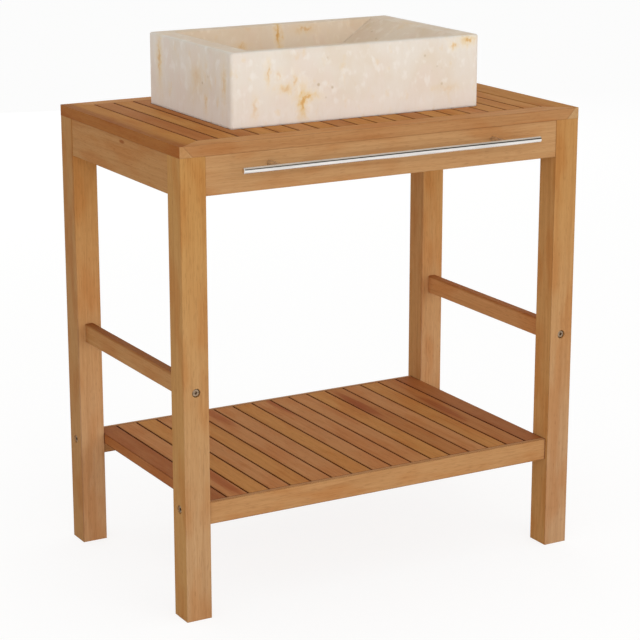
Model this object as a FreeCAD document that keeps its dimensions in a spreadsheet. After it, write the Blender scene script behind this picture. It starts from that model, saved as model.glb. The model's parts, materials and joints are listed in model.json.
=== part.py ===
"""Slatted teak wash stand with a stone basin, a lower shelf and a towel bar.

The stand faces -Y, its width runs along X and Z points up. The origin lies on the floor, at the centre of
the box round the stand and its towel bar. Lengths are in millimetres.
"""
import FreeCAD, Part
import os
import re

import Sketcher

TOP_SLATS = 18
SHELF_SLATS = 17

# Driving dimensions, one sheet cell each
SIZES = {
    "stand_width": 740,
    "stand_depth": 455,
    "stand_height": 770,
    "leg_side": 44,
    "arris": 0.5,
    "top_thickness": 18,
    "front_board": 37,
    "back_board": 28,
    "side_board": 47.5,
    "top_gap": 2.5,
    "mitre_upper": 6,
    "mitre_lower": 22,
    "batten_width": 40,
    "batten_height": 20,
    "apron_drop": 80,
    "apron_thickness": 20,
    "apron_setback": 1,
    "tenon_thickness": 10,
    "tenon_shoulder": 8,
    "tenon_length": 20,
    "tenon_clearance": 0.2,
    "stretcher_thickness": 14,
    "stretcher_height": 32,
    "stretcher_level": 364,
    "shelf_level": 194,
    "rail_height": 37,
    "rail_thickness": 32,
    "rail_lip": 8,
    "rail_setback": 6,
    "shelf_thickness": 18,
    "shelf_gap": 2.5,
    "screw_diameter": 6,
    "screw_bite": 30,
    "screw_clearance": 0.4,
    "head_diameter": 11,
    "head_height": 6,
    "head_sink": 2,
    "sink_diameter": 14,
    "socket_flats": 5,
    "socket_depth": 3,
    "bar_diameter": 10,
    "bar_length": 548,
    "bar_standoff": 40,
    "bar_drop": 38,
    "bar_offset": 9,
    "bar_ease": 1,
    "post_diameter": 8,
    "post_spacing": 414,
    "post_clearance": 0.1,
    "spigot_diameter": 5,
    "spigot_length": 12,
    "basin_width": 464,
    "basin_depth": 299,
    "basin_height": 120,
    "basin_offset": 18,
    "basin_corner": 6,
    "basin_ease": 2,
    "rim_side": 38,
    "rim_front": 17.5,
    "bowl_depth": 85,
    "bowl_floor_width": 122,
    "bowl_floor_depth": 236,
    "bowl_round": 10,
    "flange_diameter": 70,
    "flange_thickness": 3,
    "waste_clearance": 1,
    "shank_diameter": 44.5,
    "shank_clearance": 0.75,
    "slat_hole": 52,
    "tail_diameter": 41.9,
    "tail_length": 28,
    "tail_bore": 32,
    "throat_diameter": 37.4,
    "throat_depth": 6,
    "plug_clearance": 0.5,
    "plug_thickness": 4,
    "stem_diameter": 8,
    "stem_length": 40,
    "stem_clearance": 0.4,
    "bridge_width": 14,
    "bridge_height": 12,
    "bridge_drop": 30,
    "nut_flats": 62,
    "nut_height": 12,
    "nut_clearance": 0.4,
    "nut_spare": 2,
}

# Values worked out from the driving dimensions
DERIVED = {
    "front": "(bar_standoff + bar_diameter / 2 - stand_depth) / 2",
    "back": "front + stand_depth",
    "middle": "(front + back) / 2",
    "side": "stand_width / 2",
    "under_top": "stand_height - top_thickness",
    "leg_span": "stand_width - 2 * leg_side",
    "leg_reach": "stand_depth - 2 * leg_side",
    "apron_height": "apron_drop - top_thickness",
    "apron_level": "stand_height - apron_drop",
    "apron_centre": "apron_setback + apron_thickness / 2",
    "top_slat": f"(stand_width - 2 * side_board - {TOP_SLATS + 1} * top_gap) / {TOP_SLATS}",
    "top_slat_length": "stand_depth - front_board - back_board",
    "shelf_slat": f"(leg_span - {SHELF_SLATS - 1} * shelf_gap) / {SHELF_SLATS}",
    "shelf_slat_length": "stand_depth - 2 * (rail_setback + rail_lip)",
    "sink_depth": "head_height + head_sink",
    "screw_length": "leg_side - sink_depth + screw_bite",
    "screw_hole": "screw_diameter + screw_clearance",
    "stretcher_centre": "stretcher_level + stretcher_height / 2",
    "shelf_screw_level": "shelf_level - shelf_thickness / 2",
    "bar_level": "stand_height - bar_drop",
    "basin_y": "middle + basin_offset",
    "rim_width": "basin_width - 2 * rim_side",
    "rim_depth": "basin_depth - 2 * rim_front",
    "bowl_floor": "basin_height - bowl_depth",
    "floor_level": "stand_height + bowl_floor",
    "recess_diameter": "flange_diameter + 2 * waste_clearance",
    "basin_hole": "shank_diameter + 2 * shank_clearance",
    "shank_end": "floor_level - under_top + nut_height + nut_spare",
    "tail_end": "shank_end + tail_length",
    "plug_diameter": "throat_diameter - 2 * plug_clearance",
}

doc = FreeCAD.newDocument("wash_stand")
dims = doc.addObject("Spreadsheet::Sheet", "dims")
for row, (alias, number) in enumerate(SIZES.items(), start=1):
    dims.set(f"A{row}", alias)
    dims.set(f"B{row}", str(number))
    dims.setAlias(f"B{row}", alias)
doc.recompute()

nodes = []


def spell(expression):
    """Spell an expression out in cells of the sheet."""
    def swap(match):
        word = match.group(0)
        if word in DERIVED:
            return f"({spell(DERIVED[word])})"
        return f"dims.{word}" if word in SIZES else word
    return re.sub(r"[a-z][a-z_0-9]*", swap, str(expression))


def value(expression):
    """Return an expression's number."""
    return float(dims.evalExpression(spell(expression)))


def bind(target, **places):
    """Bind properties of an object to expressions; a double underscore stands for a dot."""
    for name, expression in places.items():
        target.setExpression(name.replace("__", "."), spell(expression))


def place(target, x="0", y="0", z="0"):
    """Bind where an object's own origin lies."""
    bind(target, Placement__Base__x=x, Placement__Base__y=y, Placement__Base__z=z)


def new_body(label, x="0", y="0", z="0", keep=True):
    """Start a body at a place; a kept body is a sub-part of its own."""
    body = doc.addObject("PartDesign::Body", label)
    body.Label = label
    place(body, x, y, z)
    if keep:
        nodes.append(body)
    return body


def origin_feature(body, role):
    """Find one of a body's own origin planes or axes."""
    return next(item for item in body.Origin.OriginFeatures if item.Role == role)


def new_sketch(body, plane, offset):
    """Start a sketch on one of a body's origin planes, moved along the plane's normal."""
    sketch = body.newObject("Sketcher::SketchObject", f"{body.Name}_sketch")
    sketch.AttachmentSupport = (origin_feature(body, plane), [""])
    sketch.MapMode = "FlatFace"
    bind(sketch, AttachmentOffset__Base__z=offset)
    return sketch


def pin_point(sketch, curve, point, u, v):
    """Hold a point of a curve at two distances from the sketch's origin."""
    for kind, expression in (("DistanceX", u), ("DistanceY", v)):
        hold = Sketcher.Constraint(kind, -1, 1, curve, point, value(expression))
        index = sketch.addConstraint(hold)
        sketch.setExpression(f"Constraints[{index}]", spell(expression))


def outline(body, plane, corners, offset="0"):
    """Draw a closed outline of straight lines through corners given as pairs of expressions."""
    sketch = new_sketch(body, plane, offset)
    points = [FreeCAD.Vector(value(u), value(v), 0) for u, v in corners]
    for start, end in zip(points, points[1:] + points[:1]):
        sketch.addGeometry(Part.LineSegment(start, end), False)
    for index, (u, v) in enumerate(corners):
        following = (index + 1) % len(corners)
        sketch.addConstraint(Sketcher.Constraint("Coincident", index, 2, following, 1))
        pin_point(sketch, index, 1, u, v)
    return sketch


def circles(body, plane, rings, offset="0"):
    """Draw circles given as centre and diameter expressions."""
    sketch = new_sketch(body, plane, offset)
    for index, (u, v, diameter) in enumerate(rings):
        centre = FreeCAD.Vector(value(u), value(v), 0)
        sketch.addGeometry(Part.Circle(centre, FreeCAD.Vector(0, 0, 1), value(diameter) / 2), False)
        pin_point(sketch, index, 3, u, v)
        hold = sketch.addConstraint(Sketcher.Constraint("Diameter", index, value(diameter)))
        sketch.setExpression(f"Constraints[{hold}]", spell(diameter))
    return sketch


def pad(body, sketch, length, both_ways=False, backwards=False):
    """Extrude a sketch; it grows along the sketch's normal unless it goes backwards or both ways."""
    feature = body.newObject("PartDesign::Pad", f"{body.Name}_pad")
    feature.Profile = sketch
    feature.SideType = "Symmetric" if both_ways else "One side"
    feature.Reversed = backwards
    bind(feature, Length=length)
    sketch.Visibility = False
    return feature


def pocket(body, sketch, length, backwards=False):
    """Cut a sketch into a body against its normal, or along it when backwards."""
    doc.recompute()
    before = body.Shape.Volume
    feature = body.newObject("PartDesign::Pocket", f"{body.Name}_pocket")
    feature.Profile = sketch
    feature.Reversed = backwards
    bind(feature, Length=length)
    doc.recompute()
    if body.Shape.Volume >= before:
        raise RuntimeError(f"{body.Label}: {feature.Name} cuts nothing")
    return feature


def revolve(body, corners):
    """Turn an outline of radius and height about the body's Z axis."""
    feature = body.newObject("PartDesign::Revolution", f"{body.Name}_turn")
    feature.Profile = outline(body, "XZ_Plane", corners)
    feature.ReferenceAxis = (origin_feature(body, "Z_Axis"), [""])
    feature.Angle = 360
    return feature


def dress(body, kind, edge_test, size, size_property):
    """Round or ease the edges of a body that pass a test."""
    doc.recompute()
    names = [f"Edge{index}" for index, edge in enumerate(body.Shape.Edges, start=1) if edge_test(edge)]
    base = body.Tip
    feature = body.newObject(f"PartDesign::{kind}", f"{body.Name}_{kind.lower()}")
    feature.Base = (base, names)
    bind(feature, **{size_property: size})
    doc.recompute()
    return feature


def group(label, members):
    """Collect alike pieces as one sub-part of several solids."""
    compound = doc.addObject("Part::Compound", label)
    compound.Label = label
    compound.Links = members
    nodes.append(compound)
    return compound


def board_section(width, height):
    """Corners of a sawn board's section, centred on its width and standing on zero, arrises eased."""
    half = f"({width}) / 2"
    return [
        (f"-{half} + arris", "0"),
        (f"{half} - arris", "0"),
        (half, "arris"),
        (half, f"{height} - arris"),
        (f"{half} - arris", height),
        (f"-{half} + arris", height),
        (f"-{half}", f"{height} - arris"),
        (f"-{half}", "arris"),
    ]


def centred_box(width, low, high):
    """Corners of a rectangle centred on zero between two heights."""
    half = f"({width}) / 2"
    return [(f"-{half}", low), (half, low), (half, high), (f"-{half}", high)]


def hexagon(flats):
    """Corners of a regular hexagon across flats, centred on zero."""
    corners = []
    for turn in range(6):
        reach = f"{flats} / sqrt(3)"
        corners.append((f"{reach} * cos({60 * turn} deg)", f"{reach} * sin({60 * turn} deg)"))
    return corners


def make_leg(label, x_sign, y_sign):
    """Leg with a mortise for each apron and a sunk hole for each screw.

    The body's origin is the leg's outer corner on the floor; the leg grows towards the stand's centre.
    """
    x_in, y_in = -x_sign, -y_sign
    y_face = "front" if y_sign < 0 else "back"
    body = new_body(label, f"{x_sign} * side", y_face)
    square = [
        ("arris", "0"),
        ("leg_side - arris", "0"),
        ("leg_side", "arris"),
        ("leg_side", "leg_side - arris"),
        ("leg_side - arris", "leg_side"),
        ("arris", "leg_side"),
        ("0", "leg_side - arris"),
        ("0", "arris"),
    ]
    section = [(f"{x_in} * ({u})", f"{y_in} * ({v})") for u, v in square]
    pad(body, outline(body, "XY_Plane", section), "under_top")
    mortise_low = "apron_level + tenon_shoulder - tenon_clearance"
    mortise_high = "under_top - tenon_shoulder + tenon_clearance"
    near = "apron_centre - tenon_thickness / 2 - tenon_clearance"
    far = "apron_centre + tenon_thickness / 2 + tenon_clearance"
    depth = "tenon_length + tenon_clearance"

    def mortise(sign):
        return [
            (f"{sign} * ({near})", mortise_low),
            (f"{sign} * ({far})", mortise_low),
            (f"{sign} * ({far})", mortise_high),
            (f"{sign} * ({near})", mortise_high),
        ]

    pocket(body, outline(body, "YZ_Plane", mortise(y_in), f"{x_in} * leg_side"), depth, x_in < 0)
    pocket(body, outline(body, "XZ_Plane", mortise(x_in), f"{-y_in} * leg_side"), depth, y_in > 0)
    mid = "leg_side / 2"
    for diameter, length in (("sink_diameter", "sink_depth"), ("screw_hole", "leg_side")):
        across = circles(body, "XZ_Plane", [(f"{x_in} * {mid}", "stretcher_centre", diameter)])
        pocket(body, across, length, y_in < 0)
        along = circles(body, "YZ_Plane", [(f"{y_in} * {mid}", "shelf_screw_level", diameter)])
        pocket(body, along, length, x_in > 0)


def make_apron(label, plane, length, x, y):
    """Apron with a tenon at each end; its body's origin is mid-length, on its lower edge."""
    body = new_body(label, x, y, "apron_level")
    pad(body, outline(body, plane, board_section("apron_thickness", "apron_height")), length, both_ways=True)
    tenon = centred_box("tenon_thickness", "tenon_shoulder", "apron_height - tenon_shoulder")
    pad(body, outline(body, plane, tenon), f"{length} + 2 * tenon_length", both_ways=True)
    return body


def make_aprons():
    """Aprons between the legs; the front one is bored for the towel bar's spigots."""
    front_apron = make_apron("apron_front", "YZ_Plane", "leg_span", "0", "front + apron_centre")
    make_apron("apron_back", "YZ_Plane", "leg_span", "0", "back - apron_centre")
    make_apron("apron_left", "XZ_Plane", "leg_reach", "-side + apron_centre", "middle")
    make_apron("apron_right", "XZ_Plane", "leg_reach", "side - apron_centre", "middle")
    holes = []
    for sign in (-1, 1):
        bore = "spigot_diameter + 2 * post_clearance"
        holes.append((f"-bar_offset + {sign} * post_spacing / 2", "bar_level - apron_level", bore))
    bores = circles(front_apron, "XZ_Plane", holes, "apron_thickness / 2")
    pocket(front_apron, bores, "spigot_length + post_clearance")


def make_cross_board(label, y_sign):
    """Front or back board of the top, its ends cut to the slanted mitre."""
    width = "front_board" if y_sign < 0 else "back_board"
    body = new_body(label, "0", "front" if y_sign < 0 else "back", "under_top")
    run = "side_board - mitre_upper"
    levels = []
    for mitre, offset in (("mitre_lower", "0"), ("mitre_upper", "top_thickness")):
        corners = [
            (f"-side + {mitre}", "0"),
            (f"side - {mitre}", "0"),
            (f"side - {mitre} - ({run})", f"{-y_sign} * {width}"),
            (f"-side + {mitre} + ({run})", f"{-y_sign} * {width}"),
        ]
        levels.append(outline(body, "XY_Plane", corners, offset))
    loft(body, "AdditiveLoft", levels)


def make_side_board(label, x_sign):
    """Left or right board of the top; its ends meet the front and back boards at the slanted mitre."""
    body = new_body(label, f"{x_sign} * side", "0", "under_top")
    run = "side_board - mitre_upper"
    levels = []
    for mitre, offset in (("mitre_lower", "0"), ("mitre_upper", "top_thickness")):
        share = f"(side_board - {mitre}) / ({run})"
        corners = [
            ("0", "front"),
            (f"{-x_sign} * {mitre}", "front"),
            (f"{-x_sign} * side_board", f"front + front_board * {share}"),
            (f"{-x_sign} * side_board", f"back - back_board * {share}"),
            (f"{-x_sign} * {mitre}", "back"),
            ("0", "back"),
        ]
        levels.append(outline(body, "XY_Plane", corners, offset))
    loft(body, "AdditiveLoft", levels)


def loft(body, kind, levels):
    """Loft straight between outlines."""
    feature = body.newObject(f"PartDesign::{kind}", f"{body.Name}_loft")
    feature.Profile = levels[0]
    feature.Sections = levels[1:]
    feature.Ruled = True
    return feature


def make_top():
    """Framed top: four boards and the slats between them, two of them notched round the waste."""
    make_cross_board("top_board_front", -1)
    make_cross_board("top_board_back", 1)
    make_side_board("top_board_left", -1)
    make_side_board("top_board_right", 1)
    slat_middle = "(front + front_board + back - back_board) / 2"
    for index in range(TOP_SLATS):
        x = f"-side + side_board + top_gap + top_slat / 2 + {index} * (top_slat + top_gap)"
        body = new_body(f"top_slat_{index + 1:02d}", x, slat_middle, "under_top")
        section = outline(body, "XZ_Plane", board_section("top_slat", "top_thickness"))
        pad(body, section, "top_slat_length", both_ways=True)
        if abs(value(x)) < value("slat_hole / 2"):
            notch = circles(body, "XY_Plane", [(f"-({x})", f"basin_y - {slat_middle}", "slat_hole")])
            pocket(body, notch, "top_thickness", backwards=True)


def make_battens():
    """Battens on the aprons' inner faces, under the ends of the top's slats."""
    inset = "apron_setback + apron_thickness + batten_width / 2"
    battens = []
    for label, y in (("top_batten_front", f"front + {inset}"), ("top_batten_back", f"back - ({inset})")):
        body = new_body(label, "0", y, "under_top - batten_height", keep=False)
        section = outline(body, "YZ_Plane", board_section("batten_width", "batten_height"))
        pad(body, section, "leg_span", both_ways=True)
        battens.append(body)
    group("top_battens", battens)


def make_stretchers():
    """Stretchers between the front and back legs, bored at both ends for screws."""
    for label, x in (("stretcher_left", "-side + leg_side / 2"), ("stretcher_right", "side - leg_side / 2")):
        body = new_body(label, x, "middle", "stretcher_level")
        section = outline(body, "XZ_Plane", board_section("stretcher_thickness", "stretcher_height"))
        pad(body, section, "leg_reach", both_ways=True)
        for sign in (-1, 1):
            ring = [("0", "stretcher_height / 2", "screw_hole")]
            bore = circles(body, "XZ_Plane", ring, f"{sign} * leg_reach / 2")
            pocket(body, bore, "screw_bite + screw_clearance", backwards=sign < 0)


def make_shelf():
    """Shelf: two rebated rails, and slats that lie in the rebates behind the rails' lips."""
    for label, y_sign in (("shelf_rail_front", -1), ("shelf_rail_back", 1)):
        y = "front + rail_setback" if y_sign < 0 else "back - rail_setback"
        body = new_body(label, "0", y, "shelf_level - rail_height")
        seat = "rail_height - shelf_thickness"
        section = [
            ("arris", "0"),
            ("rail_thickness - arris", "0"),
            ("rail_thickness", "arris"),
            ("rail_thickness", seat),
            ("rail_lip", seat),
            ("rail_lip", "rail_height"),
            ("arris", "rail_height"),
            ("0", "rail_height - arris"),
            ("0", "arris"),
        ]
        turned = [(f"{-y_sign} * ({u})", v) for u, v in section]
        pad(body, outline(body, "YZ_Plane", turned), "leg_span", both_ways=True)
    for index in range(SHELF_SLATS):
        x = f"-leg_span / 2 + shelf_slat / 2 + {index} * (shelf_slat + shelf_gap)"
        body = new_body(f"shelf_slat_{index + 1:02d}", x, "middle", "shelf_level - shelf_thickness")
        section = outline(body, "XZ_Plane", board_section("shelf_slat", "shelf_thickness"))
        pad(body, section, "shelf_slat_length", both_ways=True)
        if index in (0, SHELF_SLATS - 1):
            bore_screw_edge(body, outer_sign=-1 if index == 0 else 1)


def bore_screw_edge(body, outer_sign):
    """Bore the outer edge of an end slat of the shelf for the two screws through the legs."""
    reach = "stand_depth / 2 - leg_side / 2"
    rings = [(f"{sign} * ({reach})", "shelf_thickness / 2", "screw_hole") for sign in (-1, 1)]
    bores = circles(body, "YZ_Plane", rings, f"{outer_sign} * shelf_slat / 2")
    pocket(body, bores, "screw_bite + screw_clearance", backwards=outer_sign < 0)


def make_screws():
    """Socket-head screws through the legs into the stretchers' ends and the shelf's end slats."""
    x_axis, y_axis = FreeCAD.Vector(1, 0, 0), FreeCAD.Vector(0, 1, 0)
    screws = []
    for x_sign in (-1, 1):
        for y_sign in (-1, 1):
            y_face = "front" if y_sign < 0 else "back"
            leg_x = f"{x_sign} * (side - leg_side / 2)"
            leg_y = f"{y_face} - {y_sign} * leg_side / 2"
            seat_x = f"{x_sign} * (side - sink_depth)"
            seat_y = f"{y_face} - {y_sign} * sink_depth"
            across = make_screw(leg_x, seat_y, "stretcher_centre", FreeCAD.Rotation(x_axis, -90 * y_sign))
            along = make_screw(seat_x, leg_y, "shelf_screw_level", FreeCAD.Rotation(y_axis, 90 * x_sign))
            screws += [across, along]
    group("frame_screws", screws)


def make_screw(x, y, z, turn):
    """Screw whose head's underside is at its origin and whose head points along its own +Z."""
    body = doc.addObject("PartDesign::Body", "frame_screw")
    body.Placement = FreeCAD.Placement(FreeCAD.Vector(), turn)
    place(body, x, y, z)
    revolve(body, [
        ("0", "-screw_length"),
        ("screw_diameter / 2", "-screw_length"),
        ("screw_diameter / 2", "0"),
        ("head_diameter / 2", "0"),
        ("head_diameter / 2", "head_height"),
        ("0", "head_height"),
    ])
    socket = outline(body, "XY_Plane", hexagon("socket_flats"), "head_height")
    pocket(body, socket, "socket_depth")
    return body


def make_towel_bar():
    """Round bar along the front apron, on two posts whose ends are hollowed to the bar."""
    axis_y = "front - bar_standoff"
    bar = new_body("towel_bar", "-bar_offset", axis_y, "bar_level")
    pad(bar, circles(bar, "YZ_Plane", [("0", "0", "bar_diameter")]), "bar_length", both_ways=True)
    dress(bar, "Chamfer", lambda edge: edge.Curve.TypeId == "Part::GeomCircle", "bar_ease", "Size")
    posts = []
    for label, sign in (("towel_bar_post_left", -1), ("towel_bar_post_right", 1)):
        x = f"-bar_offset + {sign} * post_spacing / 2"
        body = new_body(label, x, "front + apron_setback", "bar_level", keep=False)
        pad(body, circles(body, "XZ_Plane", [("0", "0", "post_diameter")]), "bar_standoff + apron_setback")
        spigot = circles(body, "XZ_Plane", [("0", "0", "spigot_diameter")])
        pad(body, spigot, "spigot_length", backwards=True)
        ring = [("-bar_standoff - apron_setback", "0", "bar_diameter + 2 * post_clearance")]
        saddle = circles(body, "YZ_Plane", ring, "post_diameter")
        pocket(body, saddle, "2 * post_diameter")
        posts.append(body)
    group("towel_bar_posts", posts)


def upright(edge):
    """Tell whether a straight edge stands along Z."""
    return edge.Curve.TypeId == "Part::GeomLine" and abs(abs(edge.tangentAt(edge.FirstParameter).z) - 1) < 1e-6


def level_at(height):
    """Make a test for edges that lie wholly at one height."""
    def test(edge):
        box = edge.BoundBox
        return abs(box.ZMin - height) < 1e-6 and abs(box.ZMax - height) < 1e-6
    return test


def make_basin():
    """Stone block with rounded uprights and a bowl whose end walls slope in far more than its long walls."""
    body = new_body("basin", "0", "basin_y", "stand_height")
    block = centred_box("basin_width", "-basin_depth / 2", "basin_depth / 2")
    pad(body, outline(body, "XY_Plane", block), "basin_height")
    dress(body, "Fillet", upright, "basin_corner", "Radius")
    rim = centred_box("rim_width", "-rim_depth / 2", "rim_depth / 2")
    pocket(body, outline(body, "XY_Plane", rim, "basin_height"), "bowl_depth")
    walls = (
        ("XZ_Plane", "bowl_floor_width", "rim_width", "rim_depth"),
        ("YZ_Plane", "bowl_floor_depth", "rim_depth", "rim_width"),
    )
    for plane, low, high, length in walls:
        for sign in (-1, 1):
            wedge = [
                (f"{sign} * {low} / 2", "bowl_floor"),
                (f"{sign} * {high} / 2", "bowl_floor"),
                (f"{sign} * {high} / 2", "basin_height"),
            ]
            pad(body, outline(body, plane, wedge), length, both_ways=True)
    dress(body, "Fillet", level_at(value("floor_level")), "bowl_round", "Radius")
    dress(body, "Chamfer", level_at(value("stand_height + basin_height")), "basin_ease", "Size")
    recess = circles(body, "XY_Plane", [("0", "0", "recess_diameter")], "bowl_floor")
    pocket(body, recess, "flange_thickness")
    hole = circles(body, "XY_Plane", [("0", "0", "basin_hole")])
    pocket(body, hole, "basin_height", backwards=True)


def make_waste():
    """Basin waste: flanged body with a threaded tail and a bridge, lifting plug guided by the bridge, and nut."""
    body = new_body("waste_body", "0", "basin_y", "floor_level")
    revolve(body, [
        ("throat_diameter / 2", "0"),
        ("flange_diameter / 2", "0"),
        ("flange_diameter / 2", "-flange_thickness"),
        ("shank_diameter / 2", "-flange_thickness"),
        ("shank_diameter / 2", "-shank_end"),
        ("tail_diameter / 2", "-shank_end"),
        ("tail_diameter / 2", "-tail_end"),
        ("tail_bore / 2", "-tail_end"),
        ("tail_bore / 2", "-throat_depth"),
        ("throat_diameter / 2", "-throat_depth"),
    ])
    bridge = centred_box("(tail_bore + tail_diameter) / 2", "-bridge_width / 2", "bridge_width / 2")
    pad(body, outline(body, "XY_Plane", bridge, "-bridge_drop"), "bridge_height", backwards=True)
    guide = circles(body, "XY_Plane", [("0", "0", "stem_diameter + 2 * stem_clearance")], "-bridge_drop")
    pocket(body, guide, "bridge_height")

    plug = new_body("waste_plug", "0", "basin_y", "floor_level - throat_depth")
    revolve(plug, [
        ("0", "-stem_length"),
        ("stem_diameter / 2", "-stem_length"),
        ("stem_diameter / 2", "0"),
        ("plug_diameter / 2", "0"),
        ("plug_diameter / 2", "plug_thickness"),
        ("0", "plug_thickness"),
    ])

    nut = new_body("waste_backnut", "0", "basin_y", "under_top")
    pad(nut, outline(nut, "XY_Plane", hexagon("nut_flats")), "nut_height", backwards=True)
    bore = circles(nut, "XY_Plane", [("0", "0", "shank_diameter + 2 * nut_clearance")], "-nut_height")
    pocket(nut, bore, "nut_height", backwards=True)


def check_document():
    """Stop if any object failed or any sub-part is missing, broken or in loose pieces."""
    failed = [item.Label for item in doc.Objects if {"Invalid", "Error"} & set(item.State)]
    if failed:
        raise RuntimeError(f"failed objects: {failed}")
    for node in nodes:
        shape = node.Shape
        solids = len(node.Links) if node.TypeId == "Part::Compound" else 1
        if shape.isNull() or not shape.isValid() or len(shape.Solids) != solids:
            raise RuntimeError(f"{node.Label}: bad shape with {len(shape.Solids)} solids")


for leg_label, leg_x, leg_y in (
    ("leg_front_left", -1, -1),
    ("leg_front_right", 1, -1),
    ("leg_back_left", -1, 1),
    ("leg_back_right", 1, 1),
):
    make_leg(leg_label, leg_x, leg_y)
make_aprons()
make_top()
make_battens()
make_stretchers()
make_shelf()
make_screws()
make_towel_bar()
make_basin()
make_waste()
doc.recompute()
check_document()

os.makedirs("parts", exist_ok=True)
for node in nodes:
    node.Shape.exportStep(f"parts/{node.Label}.step")
print(f"{len(nodes)} sub-parts written")
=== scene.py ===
"""Looks of the slatted teak wash stand: its finishes, a pale floor, soft studio light and a camera.

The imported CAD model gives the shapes. Lengths are metres in the CAD frame, where the front faces -Y and Z
points up; a name that ends in _mm holds millimetres.
"""

import json
import logging
import math
from dataclasses import dataclass, field
from enum import Enum
from typing import Any

import bpy
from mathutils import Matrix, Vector

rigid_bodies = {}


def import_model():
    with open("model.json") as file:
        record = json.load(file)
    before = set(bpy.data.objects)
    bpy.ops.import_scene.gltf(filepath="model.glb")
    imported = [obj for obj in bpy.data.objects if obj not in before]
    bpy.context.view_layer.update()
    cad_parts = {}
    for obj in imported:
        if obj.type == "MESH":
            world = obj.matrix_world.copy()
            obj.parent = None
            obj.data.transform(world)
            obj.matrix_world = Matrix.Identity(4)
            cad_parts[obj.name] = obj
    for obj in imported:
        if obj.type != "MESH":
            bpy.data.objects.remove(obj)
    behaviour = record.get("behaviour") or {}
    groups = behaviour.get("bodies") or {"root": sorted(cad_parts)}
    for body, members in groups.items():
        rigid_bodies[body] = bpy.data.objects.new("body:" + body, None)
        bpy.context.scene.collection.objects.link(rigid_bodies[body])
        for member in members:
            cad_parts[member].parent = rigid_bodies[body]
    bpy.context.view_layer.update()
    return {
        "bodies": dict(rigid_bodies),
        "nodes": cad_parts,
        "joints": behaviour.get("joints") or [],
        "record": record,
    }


MM = 0.001
IMAGE_WIDTH = 640
WHITE = "#FFFFFF"
PATTERN_STEP = (7.3, 3.1, 0.0)
BEVEL_SAMPLES = 4
GAP_SHADE_SAMPLES = 8
BOARD_OUTPUTS = {
    "seed": "Fac", "gap_shade_share": "Fac", "shade": "Color", "heart_and_shade_tint": "Color",
    "knot": "Vector", "heart_and_shade": "Vector", "heart_and_shade_reach": "Vector",
}

Colour = tuple[float, float, float, float]
Material = bpy.types.Material
Nodes = dict[str, bpy.types.Object]
Place = tuple[float, float, float]
Socket = bpy.types.NodeSocket
Span = tuple[float, float]
Tree = bpy.types.NodeTree
Values = dict[str, Socket]

log = logging.getLogger("wash_stand")


def linear(code: str) -> Colour:
    """Turn an sRGB hex code to a linear colour.

    Args:
        code: Six hex digits after a hash sign.

    Returns:
        Red, green, blue and an alpha of one.
    """
    channels = [int(code[start:start + 2], 16) / 255 for start in (1, 3, 5)]
    red, green, blue = (c / 12.92 if c <= 0.04045 else ((c + 0.055) / 1.055) ** 2.4 for c in channels)
    return red, green, blue, 1.0


def add_node(tree: Tree, kind: str, inputs: dict[str, Any] | None = None, output: str = "",
             **settings: Any) -> Socket | None:
    """Add a node with its settings and links.

    Args:
        tree: Node tree that the node goes into.
        kind: Blender's type name of the node.
        inputs: Socket to link or value to set, for each input's identifier.
        output: Name of the output to return, or nothing for the first one in use.
        **settings: Values of the node's own properties.

    Returns:
        The output socket, or None for a node without outputs.
    """
    node = tree.nodes.new(kind)
    for name, setting in settings.items():
        setattr(node, name, setting)
    sockets = {socket.identifier: socket for socket in node.inputs}
    for identifier, source in (inputs or {}).items():
        if isinstance(source, Socket):
            tree.links.new(source, sockets[identifier])
        else:
            sockets[identifier].default_value = source
    if output:
        return node.outputs[output]
    return next((socket for socket in node.outputs if socket.enabled), None)


def new_material(name: str) -> Material:
    """Make a material with an empty node tree.

    Args:
        name: Common name of what the material is.

    Returns:
        The new material.
    """
    material = bpy.data.materials.new(name)
    material.use_nodes = True
    material.node_tree.nodes.clear()
    return material


def dress(piece: bpy.types.Object, material: Material) -> None:
    """Give a piece one material in place of those it came with.

    Args:
        piece: Object to dress.
        material: Its finish.
    """
    piece.data.materials.clear()
    piece.data.materials.append(material)
    log.info("%s: %s", piece.name, material.name)


def place_on_stand(tree: Tree) -> Socket:
    """Return the place on the stand in millimetres."""
    place = add_node(tree, "ShaderNodeTexCoord", output="Object")
    return add_node(tree, "ShaderNodeVectorMath", {"Vector": place, "Scale": 1 / MM}, operation="SCALE")


def oval_distance(tree: Tree, place_mm: Socket, middle: Socket | Place, reach: Socket | Place) -> Socket:
    """Measure how far a place is from the middle of an oval.

    Args:
        tree: Material's node tree.
        place_mm: Place on the stand.
        middle: Middle of the oval.
        reach: Half of the oval's length along each axis.

    Returns:
        Zero in the middle and one on the oval.
    """
    apart = add_node(tree, "ShaderNodeVectorMath", {"Vector": place_mm, "Vector_001": middle},
                     operation="SUBTRACT")
    part = add_node(tree, "ShaderNodeVectorMath", {"Vector": apart, "Vector_001": reach}, operation="DIVIDE")
    return add_node(tree, "ShaderNodeVectorMath", {"Vector": part}, output="Value", operation="LENGTH")


def mottles(tree: Tree, place_mm: Socket, sizes_mm: dict[str, tuple[Place, float]]) -> Values:
    """Make soft random patterns.

    Args:
        tree: Material's node tree.
        place_mm: Place that the patterns are laid out in.
        sizes_mm: Size of the spots along each axis and how many finer layers there are, for each name.

    Returns:
        A value of about 0.3 to 0.7 for each pattern's name.
    """
    made = {}
    for index, (name, (size, detail)) in enumerate(sizes_mm.items()):
        spot = add_node(tree, "ShaderNodeVectorMath", {"Vector": place_mm, "Vector_001": size},
                        operation="DIVIDE")
        step = tuple(index * along for along in PATTERN_STEP)
        moved = add_node(tree, "ShaderNodeVectorMath", {"Vector": spot, "Vector_001": step}, operation="ADD")
        made[name] = add_node(tree, "ShaderNodeTexNoise", {"Vector": moved, "Scale": 1.0, "Detail": detail})
    return made


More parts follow.
